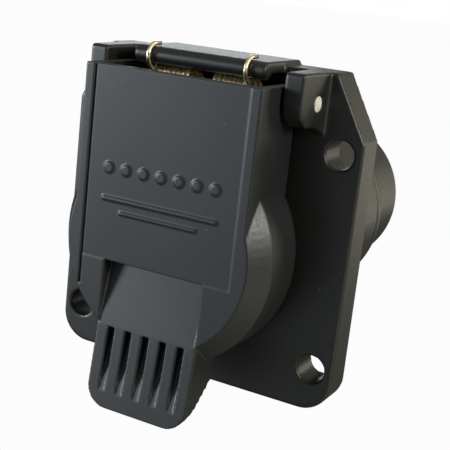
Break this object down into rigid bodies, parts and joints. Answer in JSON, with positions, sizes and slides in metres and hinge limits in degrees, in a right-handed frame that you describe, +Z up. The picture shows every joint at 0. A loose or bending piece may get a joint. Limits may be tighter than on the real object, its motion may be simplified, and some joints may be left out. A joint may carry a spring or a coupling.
{
  "type": "trailer wiring connector",
  "caption": "Flange-mounted round trailer wiring socket with flat blade contacts, a spring-closed hinged cover with a thumb tab, and a closed rear wiring barrel.",
  "frame": {"origin": "socket axis at the rear mounting face of the flange", "axes": "+X to the right seen from the plug side, +Y into the vehicle along the socket axis, +Z up towards the hinge"},
  "size_m": [0.076, 0.1148, 0.0853],
  "materials": {
    "moulded_black": "fine matte grain",
    "insulator_black": "smooth moulded",
    "seal_rubber": "soft matte",
    "contact_brass": "stamped, lightly tarnished",
    "spring_wire": "yellow passivated wire",
    "zinc_steel": "zinc plated",
    "spring_steel": "oiled spring steel"
  },
  "bodies": {
    "socket": {"housing": "moulded_black", "hinge_pin": "zinc_steel", "cover_spring": "spring_wire", "contact_block": "insulator_black", "blade_right_turn": "contact_brass", "blade_battery": "contact_brass", "blade_brake": "contact_brass", "blade_ground": "contact_brass", "blade_left_turn": "contact_brass", "blade_tail": "contact_brass", "centre_contact": "contact_brass", "centre_washer": "zinc_steel", "centre_nut": "zinc_steel", "terminal_clamps": "contact_brass", "terminal_screws": "zinc_steel", "block_snap_ring": "spring_steel", "rear_cover": "moulded_black", "rear_seal": "seal_rubber", "cover_screws": "zinc_steel", "cable_grommet": "seal_rubber"},
    "cover": {"cover_door": "moulded_black", "cover_gasket": "seal_rubber"}
  },
  "joints": [
    {"name": "cover_hinge", "type": "hinge", "parent": "socket", "child": "cover", "pos_m": [0, -0.0136, 0.0366], "axis": [-1, 0, 0], "range_deg": [0, 95], "deforming": ["cover_spring"]}
  ]
}
